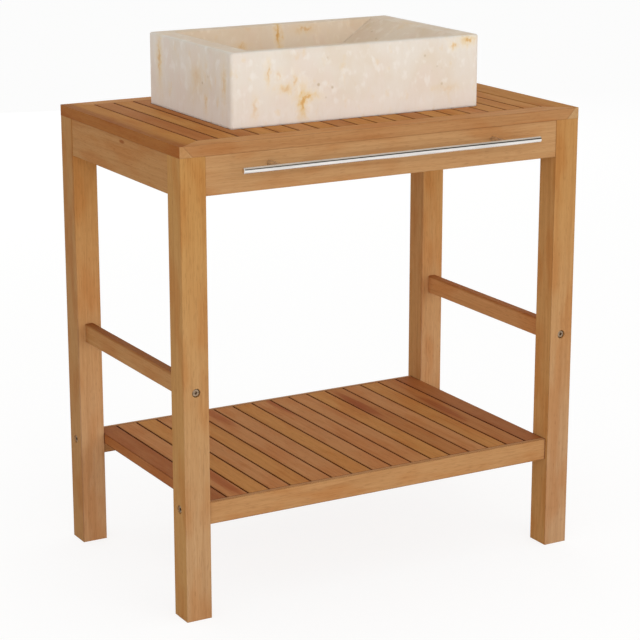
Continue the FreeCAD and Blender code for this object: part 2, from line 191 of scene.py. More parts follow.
@dataclass(frozen=True)
class Layer:
    """Colour laid over a ground: none at the pattern's value start, and its whole share at full."""

    tint: str | Socket
    pattern: Socket
    start: float = 0.0
    full: float = 1.0
    share: float = 1.0


def stain(tree: Tree, ground: Socket | Colour, layers: list[Layer], way: str) -> Socket:
    """Lay colours over a ground colour.

    Args:
        tree: Material's node tree.
        ground: Ground colour.
        layers: Colours from the lowest to the uppermost.
        way: Blend type of the layers.

    Returns:
        The stained colour.
    """
    colour = ground
    for layer in layers:
        share = add_node(tree, "ShaderNodeMapRange", {
            "Value": layer.pattern, "From Min": layer.start, "From Max": layer.full, "To Max": layer.share,
        }, interpolation_type="SMOOTHSTEP")
        tint = linear(layer.tint) if isinstance(layer.tint, str) else layer.tint
        colour = add_node(tree, "ShaderNodeMix", {
            "Factor_Float": share, "A_Color": colour, "B_Color": tint,
        }, data_type="RGBA", blend_type=way)
    return colour


class Grain(Enum):
    """Axes across a board, into it and along its grain."""

    SIDEWAYS = ("Y", "Z", "X")
    BACKWARDS = ("X", "Z", "Y")
    UPRIGHT = ("X", "Y", "Z")


class Shade(Enum):
    """Ground colour of a board, before its grain darkens it."""

    # Paler shade of three legs, each with one face painted darker: painted light.
    BLOND = "#D2A67A"
    STRAW = "#C49B70"
    WHEAT = "#C29566"
    HONEY = "#C29261"
    GOLD = "#BB8A57"
    TAN = "#D29B64"
    AMBER = "#CA8F4E"
    BRONZE = "#C48945"
    CHESTNUT = "#C98F59"
    RUSSET = "#BC7F48"
    UMBER = "#AE7040"


@dataclass(frozen=True)
class Board:
    """One board: its grain, shade and knot, a dark patch, and the strength of the painted shade in its gaps.

    A board without a knot or a patch has them far below the floor.
    """

    name: str
    grain: Grain
    shade: Shade = Shade.HONEY
    knot_mm: Place = (0.0, 0.0, -1000.0)
    # Dark patch: heartwood, and on one face of three legs painted shade.
    heart_and_shade_mm: Place = (0.0, 0.0, -1000.0)
    heart_and_shade_reach_mm: Place = (16.0, 130.0, 20.0)
    heart_and_shade_tint: str = "#DCC5B0"
    # Strength of the painted shade in the gaps round the board and along its edges.
    gap_shade_share: float = 0.15


@dataclass(frozen=True)
class OiledTeak:
    """Teak, planed, sanded and oiled: warm straight grain with soft darker lines and a low satin sheen.

    The growth lines of teak are some 3 mm apart and its pores 0.3 mm wide. Both are drawn wider, because they
    would be too fine to show. The oil soaks in, so the wood mirrors less than a varnished board.
    """

    grain: Grain
    blotch: str = "#F2D8BC"
    streak: str = "#D9C0A4"
    late_wood: str = "#A87F5C"
    pore: str = "#8A6144"
    knot: str = "#C89878"
    # Painted shade in the gaps between boards and along their rounded edges.
    painted_gap_shade: str = "#70380F"
    sawn_end: str = "#C29A6C"
    # Deeper colour of the legs; their front is left paler towards the foot as painted light.
    aged_and_side_shade: str = "#FBEEC5"
    line_mm: float = 8.0
    late_part: Span = (0.25, 0.9)
    warp_mm: float = 30.0
    taper: float = 0.02
    pith_spread_mm: Place = (260.0, 260.0, 5200.0)
    side_painted_shade: float = 0.8
    front_painted_light_mm: Span = (60.0, 720.0)
    heart_and_shade_fray: float = 0.9
    heart_and_shade_edge: Span = (0.7, 1.45)
    knot_mm: float = 4.5
    knot_length_mm: float = 15.0
    knot_core: float = 0.2
    # Reach and strength of the painted shade in gaps and along edges.
    gap_shade_mm: float = 4.0
    gap_shade_open: Span = (0.5, 0.97)
    edge_shade_mm: float = 3.0
    edge_shade_turn: Span = (0.88, 0.995)
    edge_shade_share: float = 0.8
    rounding_mm: float = 1.2
    bump_mm: float = 0.12
    bump_strength: float = 0.3
    roughness: Span = (0.55, 0.7)
    ior: float = 1.5
    mirror: float = 0.05

    def material(self) -> Material:
        """Build the material.

        Returns:
            A material that reads a board's seed, shade and marks from the board's own properties.
        """
        material = new_material(f"oiled_teak_{self.grain.name.lower()}")
        tree = material.node_tree
        place_mm = place_on_stand(tree)
        own = {
            name: add_node(tree, "ShaderNodeAttribute", output=output, attribute_type="OBJECT",
                           attribute_name=f"board_{name}")
            for name, output in BOARD_OUTPUTS.items()
        }
        board = self._board_space(tree, place_mm, own["seed"])
        fine = mottles(tree, board, {
            "warp": ((48.0, 48.0, 420.0), 2.0),
            "blotch": ((34.0, 34.0, 120.0), 2.0),
            "streak": ((5.0, 5.0, 260.0), 3.0),
            "fibre": ((1.3, 1.3, 45.0), 2.0),
            "pore": ((1.2, 1.2, 13.0), 0.0),
        })
        line = self._growth_lines(tree, board, fine["warp"], own["seed"])
        facing = add_node(tree, "ShaderNodeTexCoord", output="Normal")
        lengthwise = add_node(tree, "ShaderNodeSeparateXYZ", {"Vector": facing}, output=self.grain.value[2])
        end = add_node(tree, "ShaderNodeMath", {"Value": lengthwise}, operation="ABSOLUTE")
        ground = stain(tree, own["shade"], [Layer(self.sawn_end, end, start=0.75, full=0.98)], "MIX")
        layers = [
            Layer(self.blotch, fine["blotch"], start=0.42, full=0.68, share=0.6),
            Layer(self.streak, fine["streak"], start=0.36, full=0.66, share=0.18),
            Layer(self.streak, fine["fibre"], start=0.36, full=0.66, share=0.18),
            Layer(self.late_wood, line, share=0.1),
            Layer(self.pore, fine["pore"], start=0.6, full=0.75, share=0.16),
            # Dark patch: heartwood, and painted shade on one face of three legs.
            Layer(own["heart_and_shade_tint"], self._heart_and_shade(tree, place_mm, own, fine["streak"], end)),
            Layer(self.knot, self._knot(tree, place_mm, own["knot"]), share=0.8),
            # Painted shade in the gaps and along the rounded edges.
            Layer(self.painted_gap_shade, self._painted_gap_shade(tree, own["gap_shade_share"]), share=0.97),
        ]
        # Legs deepen in colour; their front is painted paler towards the foot: painted light.
        if self.grain is Grain.UPRIGHT:
            layers.append(Layer(self.aged_and_side_shade, self._ageing_and_painted_light(tree, place_mm, facing)))
        colour = stain(tree, ground, layers, "MULTIPLY")
        smooth, dull = self.roughness
        rough = add_node(tree, "ShaderNodeMapRange", {
            "Value": fine["fibre"], "To Min": smooth, "To Max": dull,
        })
        relief = add_node(tree, "ShaderNodeMath", {"Value": fine["fibre"], "Value_001": line},
                          operation="SUBTRACT")
        rounded = add_node(tree, "ShaderNodeBevel", {"Radius": self.rounding_mm * MM}, samples=BEVEL_SAMPLES)
        bump = add_node(tree, "ShaderNodeBump", {
            "Strength": self.bump_strength, "Distance": self.bump_mm * MM, "Height": relief,
            "Normal": rounded,
        })
        shader = add_node(tree, "ShaderNodeBsdfPrincipled", {
            "Base Color": colour, "Roughness": rough, "IOR": self.ior, "Specular IOR Level": self.mirror,
            "Normal": bump,
        })
        add_node(tree, "ShaderNodeOutputMaterial", {"Surface": shader})
        return material

    def _board_space(self, tree: Tree, place_mm: Socket, seed: Socket) -> Socket:
        """Turn a place on the stand to a place across, into and along the tree that the board was cut from.

        Args:
            tree: Material's node tree.
            place_mm: Place on the stand.
            seed: The board's own number.

        Returns:
            Place measured from the pith.
        """
        laid = add_node(tree, "ShaderNodeCombineXYZ", {
            name: add_node(tree, "ShaderNodeSeparateXYZ", {"Vector": place_mm}, output=axis)
            for name, axis in zip("XYZ", self.grain.value)
        })
        draw = add_node(tree, "ShaderNodeTexWhiteNoise", {"W": seed}, output="Color", noise_dimensions="1D")
        centred = add_node(tree, "ShaderNodeVectorMath", {"Vector": draw, "Vector_001": (0.5, 0.5, 0.5)},
                           operation="SUBTRACT")
        shift = add_node(tree, "ShaderNodeVectorMath", {"Vector": centred, "Vector_001": self.pith_spread_mm},
                         operation="MULTIPLY")
        return add_node(tree, "ShaderNodeVectorMath", {"Vector": laid, "Vector_001": shift}, operation="ADD")

    def _growth_lines(self, tree: Tree, board: Socket, warp: Socket, seed: Socket) -> Socket:
        """Draw the growth lines, some of them faint.

        Args:
            tree: Material's node tree.
            board: Place measured from the pith.
            warp: Pattern that bends the lines.
            seed: The board's own number.

        Returns:
            Darkness of the late wood, from 0 to 1.
        """
        flat = add_node(tree, "ShaderNodeVectorMath", {"Vector": board, "Vector_001": (1.0, 1.0, self.taper)},
                        operation="MULTIPLY")
        radius = add_node(tree, "ShaderNodeVectorMath", {"Vector": flat}, output="Value", operation="LENGTH")
        bent = add_node(tree, "ShaderNodeMath", {
            "Value": warp, "Value_001": self.warp_mm, "Value_002": radius,
        }, operation="MULTIPLY_ADD")
        count = add_node(tree, "ShaderNodeMath", {"Value": bent, "Value_001": self.line_mm},
                         operation="DIVIDE")
        year = add_node(tree, "ShaderNodeMath", {"Value": count}, operation="FLOOR")
        part = add_node(tree, "ShaderNodeMath", {"Value": count}, operation="FRACT")
        start, full = self.late_part
        late = add_node(tree, "ShaderNodeMapRange", {"Value": part, "From Min": start, "From Max": full},
                        interpolation_type="SMOOTHSTEP")
        number = add_node(tree, "ShaderNodeMath", {"Value": year, "Value_001": seed}, operation="ADD")
        draw = add_node(tree, "ShaderNodeTexWhiteNoise", {"W": number}, output="Value", noise_dimensions="1D")
        return add_node(tree, "ShaderNodeMath", {"Value": late, "Value_001": draw}, operation="MULTIPLY")

    def _ageing_and_painted_light(self, tree: Tree, place_mm: Socket, facing: Socket) -> Socket:
        """Draw how far a leg has deepened in colour: all over, but less on its front towards the foot, which
        is painted light.

        Args:
            tree: Material's node tree.
            place_mm: Place on the stand.
            facing: Way that the surface faces.

        Returns:
            Depth of the colour, from 0 to 1.
        """
        low, high = self.front_painted_light_mm
        height = add_node(tree, "ShaderNodeMapRange", {
            "Value": add_node(tree, "ShaderNodeSeparateXYZ", {"Vector": place_mm}, output="Z"),
            "From Min": low, "From Max": high,
        })
        turned = add_node(tree, "ShaderNodeMapRange", {
            "Value": add_node(tree, "ShaderNodeSeparateXYZ", {"Vector": facing}, output="Y"),
            "From Min": -1.0, "From Max": 0.0, "To Max": self.side_painted_shade,
        })
        return add_node(tree, "ShaderNodeMath", {"Value": height, "Value_001": turned}, operation="MAXIMUM")

    def _heart_and_shade(self, tree: Tree, place_mm: Socket, own: Values, streak: Socket, end: Socket) -> Socket:
        """Draw the dark patch, heartwood but painted shade on three legs' faces, frayed along the grain and
        none on sawn ends.

        Args:
            tree: Material's node tree.
            place_mm: Place on the stand.
            own: The board's own values.
            streak: Pattern that frays the edge.
            end: One on the sawn ends.

        Returns:
            Share of the dark patch, from 0 to 1.
        """
        far = oval_distance(tree, place_mm, own["heart_and_shade"], own["heart_and_shade_reach"])
        frayed = add_node(tree, "ShaderNodeMath", {
            "Value": streak, "Value_001": self.heart_and_shade_fray, "Value_002": far,
        }, operation="MULTIPLY_ADD")
        inner, outer = self.heart_and_shade_edge
        patch = add_node(tree, "ShaderNodeMapRange", {
            "Value": frayed, "From Min": inner, "From Max": outer, "To Min": 1.0, "To Max": 0.0,
        }, interpolation_type="SMOOTHSTEP")
        return add_node(tree, "ShaderNodeMath", {"Value": patch, "Value_001": end}, operation="SUBTRACT",
                        use_clamp=True)

    def _knot(self, tree: Tree, place_mm: Socket, middle: Socket) -> Socket:
        """Draw the small knot, drawn out along the grain.

        Args:
            tree: Material's node tree.
            place_mm: Place on the stand.
            middle: Middle of the board's knot.

        Returns:
            Darkness of the knot, from 0 to 1.
        """
        along = self.grain.value[2]
        reach = tuple(self.knot_length_mm if axis == along else self.knot_mm for axis in "XYZ")
        return add_node(tree, "ShaderNodeMapRange", {
            "Value": oval_distance(tree, place_mm, middle, reach),
            "From Min": self.knot_core, "From Max": 1.0, "To Min": 1.0, "To Max": 0.0,
        }, interpolation_type="SMOOTHSTEP")

    def _painted_gap_shade(self, tree: Tree, gap_shade_share: Socket) -> Socket:
        """Darken the gaps between boards and the rounded edges beside them, as painted shade.

        Args:
            tree: Material's node tree.
            gap_shade_share: Strength of the painted shade in the board's gaps and along its edges.

        Returns:
            Strength of the painted shade, from 0 to 1.
        """
        open_sky = add_node(tree, "ShaderNodeAmbientOcclusion", {"Distance": self.gap_shade_mm * MM},
                            output="AO", samples=GAP_SHADE_SAMPLES)
        deep, shallow = self.gap_shade_open
        depth = add_node(tree, "ShaderNodeMapRange", {
            "Value": open_sky, "From Min": deep, "From Max": shallow, "To Min": 1.0, "To Max": 0.0,
        })
        turned = add_node(tree, "ShaderNodeVectorMath", {
            "Vector": add_node(tree, "ShaderNodeBevel", {"Radius": self.edge_shade_mm * MM}, samples=BEVEL_SAMPLES),
            "Vector_001": add_node(tree, "ShaderNodeNewGeometry", output="True Normal"),
        }, output="Value", operation="DOT_PRODUCT")
        round_edge, flat = self.edge_shade_turn
        edge = add_node(tree, "ShaderNodeMapRange", {
            "Value": turned, "From Min": round_edge, "From Max": flat, "To Min": self.edge_shade_share,
            "To Max": 0.0,
        })
        dark = add_node(tree, "ShaderNodeMath", {"Value": depth, "Value_001": edge}, operation="MAXIMUM")
        return add_node(tree, "ShaderNodeMath", {"Value": dark, "Value_001": gap_shade_share}, operation="MULTIPLY")


@dataclass(frozen=True)
class Mark:
    """A stain in the stone: its middle, its reach along each axis and how strong it is."""

    middle_mm: Place
    reach_mm: Place
    strength: float


@dataclass(frozen=True)
class HonedLimestone:
    """Cream limestone, sawn and honed: soft pink and ochre clouds, rust stains, small pits and a dull sheen.

    The block is paler towards its foot, which is painted light, and its rim and bowl are worn a little
    yellower than its outside.
    """

    marks: tuple[Mark, ...]
    body: str = "#E9E0D4"
    sand: str = "#E3D4C0"
    rose: str = "#E9DBCF"
    chalk_and_painted_light: str = "#F2ECE4"
    yellow: str = "#E8CB92"
    rust: str = "#D69B4A"
    pit: str = "#BBA379"
    worn: str = "#F8EEE1"
    block_middle_mm: Place = (0.0, 40.5, 830.0)
    block_half_mm: Place = (232.0, 149.5, 1000.0)
    painted_light_foot_mm: Span = (820.0, 770.0)
    pit_spacing_mm: float = 21.0
    pit_radius: Span = (0.04, 0.2)
    pit_cloud: Span = (0.57, 0.66)
    pit_depth: float = 0.8
    bend_mm: float = 9.0
    rings: tuple[tuple[str, float, float], ...] = (
        ("rust", 0.5, 1.3), ("yellow", 0.7, 1.9), ("haze", 0.9, 3.3), ("leached", 1.6, 3.8),
    )
    rounding_mm: float = 5.0
    bump_mm: float = 0.25
    bump_strength: float = 0.25
    roughness: Span = (0.42, 0.62)
    ior: float = 1.5
    mirror: float = 0.15

    def material(self) -> Material:
        """Build the material.

        Returns:
            The stone's material.
        """
        material = new_material("honed_limestone")
        tree = material.node_tree
        place_mm = place_on_stand(tree)
        fine = mottles(tree, place_mm, {
            "cloud": ((85.0, 85.0, 85.0), 3.0),
            "blush": ((55.0, 55.0, 80.0), 3.0),
            "chalk_and_painted_light": ((15.0, 15.0, 22.0), 2.0),
            "stria": ((6.0, 6.0, 24.0), 2.0),
            "wash": ((17.0, 17.0, 28.0), 3.0),
            "seep": ((5.0, 5.0, 10.0), 2.0),
            "grit": ((2.2, 2.2, 2.2), 1.0),
        })
        height = add_node(tree, "ShaderNodeSeparateXYZ", {"Vector": place_mm}, output="Z")
        above, foot = self.painted_light_foot_mm
        pit = self._pits(tree, place_mm, fine["cloud"])
        seepage = self._seepage(tree, place_mm, fine["seep"])
        colour = stain(tree, linear(self.body), [
            Layer(self.sand, fine["cloud"], start=0.45, full=0.68, share=0.7),
            Layer(self.rose, fine["blush"], start=0.46, full=0.66, share=0.6),
            # Painted light: the block is paler towards its foot.
            Layer(self.chalk_and_painted_light, height, start=above, full=foot, share=0.75),
            Layer(self.chalk_and_painted_light, fine["chalk_and_painted_light"], start=0.52, full=0.7, share=0.6),
            Layer(self.sand, fine["stria"], start=0.45, full=0.7, share=0.14),
            Layer(self.yellow, fine["wash"], start=0.57, full=0.75, share=0.3),
            Layer(self.chalk_and_painted_light, seepage["leached"], share=0.5),
            Layer(self.yellow, seepage["haze"], share=0.42),
            Layer(self.yellow, seepage["yellow"], share=0.8),
            Layer(self.rust, seepage["rust"], share=0.68),
            Layer(self.pit, pit, share=0.6),
        ], "MIX")
        inside = Layer(self.worn, self._skin(tree, place_mm), start=0.99, full=0.95)
        colour = stain(tree, colour, [inside], "MULTIPLY")
        smooth, dull = self.roughness
        rough = add_node(tree, "ShaderNodeMapRange", {
            "Value": fine["blush"], "To Min": smooth, "To Max": dull,
        })
        relief = add_node(tree, "ShaderNodeMath", {
            "Value": pit, "Value_001": -self.pit_depth, "Value_002": fine["grit"],
        }, operation="MULTIPLY_ADD")
        rounded = add_node(tree, "ShaderNodeBevel", {"Radius": self.rounding_mm * MM}, samples=BEVEL_SAMPLES)
        bump = add_node(tree, "ShaderNodeBump", {
            "Strength": self.bump_strength, "Distance": self.bump_mm * MM, "Height": relief,
            "Normal": rounded,
        })
        shader = add_node(tree, "ShaderNodeBsdfPrincipled", {
            "Base Color": colour, "Roughness": rough, "IOR": self.ior, "Specular IOR Level": self.mirror,
            "Normal": bump,
        })
        add_node(tree, "ShaderNodeOutputMaterial", {"Surface": shader})
        return material

    def _pits(self, tree: Tree, place_mm: Socket, cloud: Socket) -> Socket:
        """Scatter small pits through the sandy parts.

        Args:
            tree: Material's node tree.
            place_mm: Place on the stand.
            cloud: Pattern of the sandy parts.

        Returns:
            Depth in a pit, from 0 to 1.
        """
        cell = add_node(tree, "ShaderNodeVectorMath", {"Vector": place_mm, "Scale": 1 / self.pit_spacing_mm},
                        operation="SCALE")
        far = add_node(tree, "ShaderNodeTexVoronoi", {"Vector": cell, "Scale": 1.0}, output="Distance")
        floor, rim = self.pit_radius
        hole = add_node(tree, "ShaderNodeMapRange", {
            "Value": far, "From Min": floor, "From Max": rim, "To Min": 1.0, "To Max": 0.0,
        }, interpolation_type="SMOOTHSTEP")
        start, full = self.pit_cloud
        here = add_node(tree, "ShaderNodeMapRange", {"Value": cloud, "From Min": start, "From Max": full})
        return add_node(tree, "ShaderNodeMath", {"Value": hole, "Value_001": here}, operation="MULTIPLY")

    def _skin(self, tree: Tree, place_mm: Socket) -> Socket:
        """Measure how near a place is to the block's outer faces.

        Args:
            tree: Material's node tree.
            place_mm: Place on the stand.

        Returns:
            One on the outer faces, falling to zero in the middle.
        """
        apart = add_node(tree, "ShaderNodeVectorMath", {
            "Vector": place_mm, "Vector_001": self.block_middle_mm,
        }, operation="SUBTRACT")
        part = add_node(tree, "ShaderNodeVectorMath", {"Vector": apart, "Vector_001": self.block_half_mm},
                        operation="DIVIDE")
        share = add_node(tree, "ShaderNodeVectorMath", {"Vector": part}, operation="ABSOLUTE")
        wide = add_node(tree, "ShaderNodeSeparateXYZ", {"Vector": share}, output="X")
        deep = add_node(tree, "ShaderNodeSeparateXYZ", {"Vector": share}, output="Y")
        return add_node(tree, "ShaderNodeMath", {"Value": wide, "Value_001": deep}, operation="MAXIMUM")

    def _seepage(self, tree: Tree, place_mm: Socket, seep: Socket) -> Values:
        """Draw the stains: a core of rust, yellow and a yellow haze round it, and stone leached white.

        Args:
            tree: Material's node tree.
            place_mm: Place on the stand.
            seep: Pattern that makes the edges ragged.

        Returns:
            Strength of each ring of the stains, from 0 to 1.
        """
        wander = add_node(tree, "ShaderNodeTexNoise", {
            "Vector": place_mm, "Scale": 1 / self.bend_mm, "Detail": 2.0,
        }, output="Color")
        bent = add_node(tree, "ShaderNodeVectorMath", {
            "Vector": wander, "Vector_001": (2 * self.bend_mm,) * 3, "Vector_002": place_mm,
        }, operation="MULTIPLY_ADD")
        drawn = {}
        for mark in self.marks:
            # The noise is about one half, so the bend shifts the stone by bend_mm and each mark goes along.
            middle = tuple(along + self.bend_mm for along in mark.middle_mm)
            far = oval_distance(tree, bent, middle, mark.reach_mm)
            ragged = add_node(tree, "ShaderNodeMath", {"Value": far, "Value_001": seep}, operation="ADD")
            for name, inner, outer in self.rings:
                ring = add_node(tree, "ShaderNodeMapRange", {
                    "Value": ragged, "From Min": inner, "From Max": outer, "To Min": mark.strength,
                    "To Max": 0.0,
                }, interpolation_type="SMOOTHSTEP")
                drawn[name] = add_node(tree, "ShaderNodeMath", {
                    "Value": drawn.get(name, 0.0), "Value_001": ring,
                }, operation="MAXIMUM")
        return drawn


@dataclass(frozen=True)
class BareMetal:
    """Metal with a worked surface: its sheen breaks up along fine marks left by polishing or wear."""

    name: str
    tint: str
    roughness: Span
    mark_mm: Place
    worn: str = "#D9D9D9"
    mark_detail: float = 3.0
    mark_span: Span = (0.3, 0.7)

    def material(self) -> Material:
        """Build the material.

        Returns:
            The metal's material.
        """
        material = new_material(self.name)
        tree = material.node_tree
        marks = mottles(tree, place_on_stand(tree), {"marks": (self.mark_mm, self.mark_detail)})["marks"]
        start, full = self.mark_span
        smooth, dull = self.roughness
        rough = add_node(tree, "ShaderNodeMapRange", {
            "Value": marks, "From Min": start, "From Max": full, "To Min": smooth, "To Max": dull,
        })
        worn = stain(tree, linear(self.tint), [Layer(self.worn, marks, start=0.35, full=0.7)], "MULTIPLY")
        shader = add_node(tree, "ShaderNodeBsdfPrincipled", {
            "Base Color": worn, "Roughness": rough, "Metallic": 1.0,
        })
        add_node(tree, "ShaderNodeOutputMaterial", {"Surface": shader})
        return material


@dataclass
class TeakWork:
    """Sub-assembly of teak boards. The seed picks each board's place in the tree, so no two are alike."""

    nodes: Nodes
    teak: dict[Grain, Material]
    first_seed: float
    seed_step: float = 1.37

    def boards(self) -> list[Board]:
        """Return the boards of the sub-assembly."""
        raise NotImplementedError

    def dress(self) -> None:
        """Give each board its finish, shade and marks."""
        for index, board in enumerate(self.boards()):
            piece = self.nodes[board.name]
            own = {
                "seed": self.first_seed + self.seed_step * index,
                "shade": linear(board.shade.value)[:3],
                "knot": board.knot_mm,
                "heart_and_shade": board.heart_and_shade_mm,
                "heart_and_shade_reach": board.heart_and_shade_reach_mm,
                "heart_and_shade_tint": linear(board.heart_and_shade_tint)[:3],
                "gap_shade_share": board.gap_shade_share,
            }
            for name, value in own.items():
                piece[f"board_{name}"] = value
            dress(piece, self.teak[board.grain])


@dataclass
class StandFrame(TeakWork):
    """Legs, aprons and stretchers; a small knot in the left apron, dark upper edges on the stretchers.

    Three legs have a paler shade and one face painted darker each: painted light and shade between their
    faces.
    """

    first_seed: float = 3.1
    apron_knot_mm: Place = (-369.0, 6.5, 745.0)
    stretcher_edge_mm: Place = (0.0, 22.5, 397.0)
    stretcher_reach_mm: Place = (2000.0, 600.0, 8.0)
    # Faces of three legs painted darker, with their tints: painted shade.
    front_face_reach_mm: Place = (200.0, 3.0, 2000.0)
    left_face_reach_mm: Place = (3.0, 200.0, 2000.0)
    front_right_face_mm: Place = (348.0, -205.0, 385.0)
    front_right_painted_shade: str = "#EEEEF1"
    back_left_face_mm: Place = (-370.0, 228.0, 385.0)
    back_left_painted_shade: str = "#E1DFE4"
    back_right_face_mm: Place = (326.0, 228.0, 385.0)
    back_right_painted_shade: str = "#EFECF0"

    def boards(self) -> list[Board]:
        """List the legs, aprons and stretchers.

        Returns:
            The boards, in the order of their seeds.
        """
        dark_edge = {"heart_and_shade_mm": self.stretcher_edge_mm, "heart_and_shade_reach_mm": self.stretcher_reach_mm}
        return [
            Board("leg_front_left", Grain.UPRIGHT, Shade.STRAW),
            # Three legs with a paler shade and one face painted darker: painted light and shade.
            Board("leg_front_right", Grain.UPRIGHT, Shade.BLOND, heart_and_shade_mm=self.front_right_face_mm,
                  heart_and_shade_reach_mm=self.front_face_reach_mm, heart_and_shade_tint=self.front_right_painted_shade),
            Board("leg_back_left", Grain.UPRIGHT, Shade.BLOND, heart_and_shade_mm=self.back_left_face_mm,
                  heart_and_shade_reach_mm=self.left_face_reach_mm, heart_and_shade_tint=self.back_left_painted_shade),
            Board("leg_back_right", Grain.UPRIGHT, Shade.BLOND, heart_and_shade_mm=self.back_right_face_mm,
                  heart_and_shade_reach_mm=self.left_face_reach_mm, heart_and_shade_tint=self.back_right_painted_shade),
            Board("apron_front", Grain.SIDEWAYS, Shade.WHEAT),
            Board("apron_back", Grain.SIDEWAYS),
            Board("apron_left", Grain.BACKWARDS, Shade.GOLD, knot_mm=self.apron_knot_mm),
            Board("apron_right", Grain.BACKWARDS, Shade.GOLD),
            Board("stretcher_left", Grain.BACKWARDS, Shade.GOLD, **dark_edge),
            Board("stretcher_right", Grain.BACKWARDS, Shade.TAN, **dark_edge),
        ]


@dataclass
class SlattedTop(TeakWork):
    """Framed top: four boards, the slats between them and the battens under the slats' ends.

    The front board is darker on its front face, and the left board along its outer edge.
    """

    first_seed: float = 31.4
    slat_count: int = 18
    # Strength of the painted shade in the gaps between the slats.
    slat_gap_shade_share: float = 1.0
    front_edge_mm: Place = (0.0, -205.0, 760.0)
    front_edge_reach_mm: Place = (1110.0, 2.5, 40.0)
    front_edge_tint: str = "#E0E0E5"
    left_edge_mm: Place = (-370.0, 0.0, 760.0)
    left_edge_reach_mm: Place = (34.0, 900.0, 30.0)
    left_edge_tint: str = "#DAC9C7"
    slat_shades: dict[int, Shade] = field(default_factory=lambda: {
        1: Shade.RUSSET, 3: Shade.RUSSET, 6: Shade.CHESTNUT, 8: Shade.RUSSET, 12: Shade.RUSSET,
        15: Shade.CHESTNUT,
    })

    def boards(self) -> list[Board]:
        """List the frame boards, the battens and the slats.

        Returns:
            The boards, in the order of their seeds.
        """
        frame = [
            Board("top_board_front", Grain.SIDEWAYS, Shade.TAN, heart_and_shade_mm=self.front_edge_mm,
                  heart_and_shade_reach_mm=self.front_edge_reach_mm, heart_and_shade_tint=self.front_edge_tint),
            Board("top_board_back", Grain.SIDEWAYS, Shade.TAN),
            Board("top_board_left", Grain.BACKWARDS, Shade.BRONZE, heart_and_shade_mm=self.left_edge_mm,
                  heart_and_shade_reach_mm=self.left_edge_reach_mm, heart_and_shade_tint=self.left_edge_tint),
            Board("top_board_right", Grain.BACKWARDS, Shade.BRONZE),
            Board("top_battens", Grain.SIDEWAYS),
        ]
        slats = [
            Board(f"top_slat_{number:02d}", Grain.BACKWARDS, self.slat_shades.get(number, Shade.AMBER),
                  gap_shade_share=self.slat_gap_shade_share)
            for number in range(1, self.slat_count + 1)
        ]
        return frame + slats


@dataclass
class SlattedShelf(TeakWork):
    """Lower shelf: two rails and the slats between them, some with reddish heartwood."""

    first_seed: float = 71.6
    slat_count: int = 17
    # Strength of the painted shade in the gaps by the slats and by the rails.
    slat_gap_shade_share: float = 1.0
    rail_gap_shade_share: float = 0.8
    level_mm: float = 194.0
    heart_and_shade_tint: str = "#E2C4B6"
    heart_places_mm: dict[int, Span] = field(default_factory=lambda: {
        2: (-263.0, -108.0), 6: (-110.0, 212.0), 9: (17.0, 205.0), 13: (146.0, 133.0), 16: (266.0, 48.0),
    })
    slat_shades: dict[int, Shade] = field(default_factory=lambda: {
        1: Shade.UMBER, 3: Shade.AMBER, 5: Shade.AMBER, 8: Shade.AMBER, 12: Shade.AMBER, 13: Shade.RUSSET,
        15: Shade.AMBER, 16: Shade.RUSSET, 17: Shade.UMBER,
    })

    def boards(self) -> list[Board]:
        """List the rails and the slats.

        Returns:
            The boards, in the order of their seeds.
        """
        rails = [
            Board("shelf_rail_front", Grain.SIDEWAYS, gap_shade_share=self.rail_gap_shade_share),
            Board("shelf_rail_back", Grain.SIDEWAYS, gap_shade_share=self.rail_gap_shade_share),
        ]
        hearts = {number: (*place, self.level_mm) for number, place in self.heart_places_mm.items()}
        slats = [
            Board(f"shelf_slat_{number:02d}", Grain.BACKWARDS, self.slat_shades.get(number, Shade.CHESTNUT),
                  heart_and_shade_mm=hearts.get(number, Board.heart_and_shade_mm), heart_and_shade_tint=self.heart_and_shade_tint,
                  gap_shade_share=self.slat_gap_shade_share)
            for number in range(1, self.slat_count + 1)
        ]
        return rails + slats


